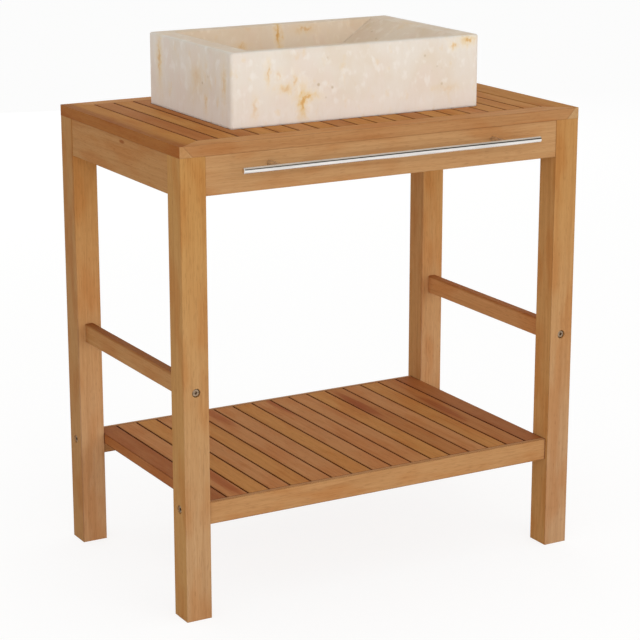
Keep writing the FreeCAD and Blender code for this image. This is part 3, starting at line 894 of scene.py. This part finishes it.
@dataclass
class StoneBasin:
    """Basin cut from one block of stone, with rust stains where the photograph shows them."""

    nodes: Nodes
    front_mm: float = -109.0
    left_mm: float = -232.0
    back_wall_mm: float = 170.5

    def dress(self) -> None:
        """Give the block its finish."""
        # Each stain's middle, its reach along each axis and its strength.
        marks = (
            Mark((-104.0, self.front_mm, 803.0), (7.0, 30.0, 22.0), 1.0),
            Mark((-95.0, self.front_mm, 812.0), (18.0, 30.0, 6.0), 0.8),
            Mark((-117.0, self.front_mm, 838.0), (6.0, 30.0, 14.0), 0.45),
            Mark((-134.0, self.front_mm, 828.0), (16.0, 30.0, 8.0), 0.5),
            Mark((-146.0, self.front_mm, 850.0), (7.0, 20.0, 9.0), 0.35),
            Mark((-166.0, self.front_mm, 852.0), (5.0, 20.0, 19.0), 0.5),
            Mark((-190.0, self.front_mm, 800.0), (6.0, 20.0, 22.0), 0.35),
            Mark((210.0, self.front_mm, 882.0), (14.0, 20.0, 7.0), 0.8),
            Mark((182.0, self.front_mm, 875.0), (7.0, 20.0, 6.0), 0.6),
            Mark((205.0, 70.0, 884.0), (12.0, 30.0, 9.0), 0.5),
            Mark((168.0, self.front_mm, 806.0), (34.0, 20.0, 9.0), 0.25),
            Mark((self.left_mm, 150.0, 850.0), (20.0, 9.0, 44.0), 0.6),
            Mark((self.left_mm, 12.0, 838.0), (20.0, 22.0, 30.0), 0.35),
            Mark((self.left_mm, -20.0, 800.0), (20.0, 8.0, 18.0), 0.45),
            Mark((self.left_mm, -85.0, 838.0), (20.0, 9.0, 32.0), 0.45),
            Mark((4.0, self.back_wall_mm, 874.0), (5.0, 30.0, 26.0), 0.9),
            Mark((57.0, self.back_wall_mm, 878.0), (22.0, 30.0, 7.0), 0.5),
            Mark((-70.0, self.back_wall_mm, 858.0), (14.0, 30.0, 6.0), 0.5),
        )
        dress(self.nodes["basin"], HonedLimestone(marks).material())


@dataclass
class TowelBar:
    """Towel bar and its two posts."""

    nodes: Nodes
    polish_mm: Place = (60.0, 2.0, 2.0)
    turning_mm: Place = (2.0, 6.0, 2.0)

    def dress(self) -> None:
        """Give the bar and its posts their finish."""
        # Drawn tube, polished along its length: it mirrors the room in long soft bands.
        polished = BareMetal("polished_stainless_steel", "#ECE8E3", roughness=(0.08, 0.14),
                             mark_mm=self.polish_mm, worn="#E6E6E6")
        # Turned posts, left satin: a soft grey gloss.
        satin = BareMetal("satin_stainless_steel", "#E8E5E0", roughness=(0.3, 0.4), mark_mm=self.turning_mm)
        dress(self.nodes["towel_bar"], polished.material())
        dress(self.nodes["towel_bar_posts"], satin.material())


@dataclass
class FrameScrews:
    """Socket screws sunk into the legs."""

    nodes: Nodes
    spangle_mm: float = 3.0

    def dress(self) -> None:
        """Give the screws their finish."""
        # Steel, plated with zinc: a dull grey, slightly spangled, tinted warm as a painted reflection of the
        # wood round it.
        zinc_and_painted_reflection = BareMetal("zinc_plated_steel", "#AD957C", roughness=(0.35, 0.5),
                         mark_mm=(self.spangle_mm,) * 3)
        dress(self.nodes["frame_screws"], zinc_and_painted_reflection.material())


@dataclass
class BasinWaste:
    """Basin waste: body, lifting plug and nut."""

    nodes: Nodes
    wear_mm: float = 8.0

    def dress(self) -> None:
        """Give the waste its finish."""
        # Brass, polished and chromed: bright and cool, with faint wear.
        chrome = BareMetal("chromed_brass", "#DEDFE0", roughness=(0.05, 0.09), mark_mm=(self.wear_mm,) * 3,
                           worn="#F4F4F4").material()
        for name in ("waste_body", "waste_plug", "waste_backnut"):
            dress(self.nodes[name], chrome)


@dataclass(frozen=True)
class Lamp:
    """Large square lamp that faces the middle of the stand."""

    name: str
    place: Place
    side: float
    watts: float
    aim: Place = (0.0, 0.0, 0.45)

    def hang(self) -> None:
        """Hang the lamp in the scene, where metal doesn't mirror it."""
        light = bpy.data.lights.new(self.name, "AREA")
        light.shape = "SQUARE"
        light.size = self.side
        light.energy = self.watts
        lamp = bpy.data.objects.new(self.name, light)
        lamp.location = self.place
        lamp.visible_glossy = False
        lamp.rotation_euler = (Vector(self.aim) - lamp.location).to_track_quat("-Z", "Y").to_euler()
        bpy.context.scene.collection.objects.link(lamp)


@dataclass
class Studio:
    """Pale floor, soft light and camera."""

    floor_side: float = 30.0
    floor_colour: str = "#E4E4E3"
    floor_glow: float = 0.72
    floor_glow_strength: float = 1.15
    horizon: float = 0.9
    overhead: str = "#D3D3D2"
    overhead_rise: Span = (0.25, 0.7)
    mirrored_ceiling: str = "#D2CAC0"
    mirrored_ceiling_rise: Span = (0.3, 0.7)
    mirrored_gap: str = "#3C3834"
    gap_direction: Place = (0.62, -0.6, 0.5)
    gap_edge: Span = (0.92, 0.97)
    lamps: tuple[Lamp, ...] = (
        Lamp("key", (0.9, -4.0, 1.2), side=3.2, watts=43.0),
        Lamp("fill", (-2.2, -3.8, 1.6), side=2.6, watts=29.0),
        Lamp("back", (1.2, 4.2, 1.4), side=3.0, watts=20.0),
    )
    camera_azimuth: float = -29.64
    camera_elevation: float = 15.08
    camera_distance: float = 3.680
    camera_sensor_mm: float = 36.0
    camera_focus_px: float = 2138.0
    camera_aim: Place = (0.0029, 0.0225, 0.3981)

    def set_up(self) -> None:
        """Set up the floor, the light and the camera."""
        self._lay_floor()
        self._light_room()
        for lamp in self.lamps:
            lamp.hang()
        self._set_camera()
        bpy.context.scene.view_settings.view_transform = "Standard"

    def _lay_floor(self) -> None:
        """Lay the floor; it looks near white to the camera and keeps the stand's shadow."""
        half = self.floor_side / 2
        mesh = bpy.data.meshes.new("floor")
        corners = [(-half, -half, 0), (half, -half, 0), (half, half, 0), (-half, half, 0)]
        mesh.from_pydata(corners, [], [(0, 1, 2, 3)])
        floor = bpy.data.objects.new("floor", mesh)
        bpy.context.scene.collection.objects.link(floor)
        material = new_material("matt_white_floor")
        tree = material.node_tree
        matt = add_node(tree, "ShaderNodeBsdfDiffuse", {"Color": linear(self.floor_colour)})
        glow = add_node(tree, "ShaderNodeEmission", {"Strength": self.floor_glow_strength})
        share = add_node(tree, "ShaderNodeMath", {"Value": self._seen(tree), "Value_001": self.floor_glow},
                         operation="MULTIPLY")
        mixed = add_node(tree, "ShaderNodeMixShader", {"Fac": share, "Shader": matt, "Shader_001": glow})
        add_node(tree, "ShaderNodeOutputMaterial", {"Surface": mixed})
        dress(floor, material)

    def _seen(self, tree: Tree) -> Socket:
        """Tell rays of the camera, of gloss and of glass from the rays that only light things.

        Args:
            tree: Node tree that asks.

        Returns:
            One for rays that are looked along, and zero for the others.
        """
        seen = add_node(tree, "ShaderNodeLightPath", output="Is Camera Ray")
        for name in ("Is Glossy Ray", "Is Transmission Ray"):
            ray = add_node(tree, "ShaderNodeLightPath", output=name)
            seen = add_node(tree, "ShaderNodeMath", {"Value": seen, "Value_001": ray}, operation="MAXIMUM")
        return seen

    def _light_room(self) -> None:
        """Light the stand from all round, less from overhead; the backdrop is plain white.

        Metal mirrors that white, and the dark gap between the front screen and the ceiling as a thin line.
        """
        world = bpy.data.worlds.new("studio")
        bpy.context.scene.world = world
        world.use_nodes = True
        tree = world.node_tree
        tree.nodes.clear()
        direction = add_node(tree, "ShaderNodeTexCoord", output="Generated")
        up = add_node(tree, "ShaderNodeSeparateXYZ", {"Vector": direction}, output="Z")
        gap = add_node(tree, "ShaderNodeVectorMath", {"Vector": direction, "Vector_001": self.gap_direction},
                       output="Value", operation="DOT_PRODUCT")
        room = stain(tree, linear(WHITE), [Layer(self.overhead, up, *self.overhead_rise)], "MIX")
        mirror = stain(tree, linear(WHITE), [
            Layer(self.mirrored_ceiling, up, *self.mirrored_ceiling_rise),
            Layer(self.mirrored_gap, gap, *self.gap_edge),
        ], "MIX")
        lighting = add_node(tree, "ShaderNodeBackground", {"Color": room, "Strength": self.horizon})
        mirrored = add_node(tree, "ShaderNodeBackground", {"Color": mirror, "Strength": 1.0})
        white = add_node(tree, "ShaderNodeBackground", {"Color": linear(WHITE), "Strength": 1.0})
        lit = add_node(tree, "ShaderNodeMixShader", {
            "Fac": self._seen(tree), "Shader": lighting, "Shader_001": mirrored,
        })
        camera = add_node(tree, "ShaderNodeLightPath", output="Is Camera Ray")
        mixed = add_node(tree, "ShaderNodeMixShader", {"Fac": camera, "Shader": lit, "Shader_001": white})
        add_node(tree, "ShaderNodeOutputWorld", {"Surface": mixed})

    def _set_camera(self) -> None:
        """Set the camera at the photograph's angle, fitted to the corners of the legs, top and basin."""
        azimuth, elevation = math.radians(self.camera_azimuth), math.radians(self.camera_elevation)
        back = Vector((
            math.sin(azimuth) * math.cos(elevation),
            -math.cos(azimuth) * math.cos(elevation),
            math.sin(elevation),
        ))
        lens = bpy.data.cameras.new("camera")
        lens.sensor_width = self.camera_sensor_mm
        lens.lens = self.camera_sensor_mm * self.camera_focus_px / IMAGE_WIDTH
        camera = bpy.data.objects.new("camera", lens)
        camera.location = Vector(self.camera_aim) + self.camera_distance * back
        camera.rotation_euler = back.to_track_quat("Z", "Y").to_euler()
        bpy.context.scene.collection.objects.link(camera)
        bpy.context.scene.camera = camera


def main() -> None:
    """Load the frame, dress every piece of the stand and set up the studio."""
    logging.basicConfig(level=logging.INFO, format="%(name)s: %(message)s")
    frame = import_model()
    nodes = frame["nodes"]
    teak = {grain: OiledTeak(grain).material() for grain in Grain}
    sub_assemblies = (
        StandFrame(nodes, teak),
        SlattedTop(nodes, teak),
        SlattedShelf(nodes, teak),
        StoneBasin(nodes),
        TowelBar(nodes),
        FrameScrews(nodes),
        BasinWaste(nodes),
    )
    for sub_assembly in sub_assemblies:
        sub_assembly.dress()
    Studio().set_up()


if __name__ == "__main__":
    main()
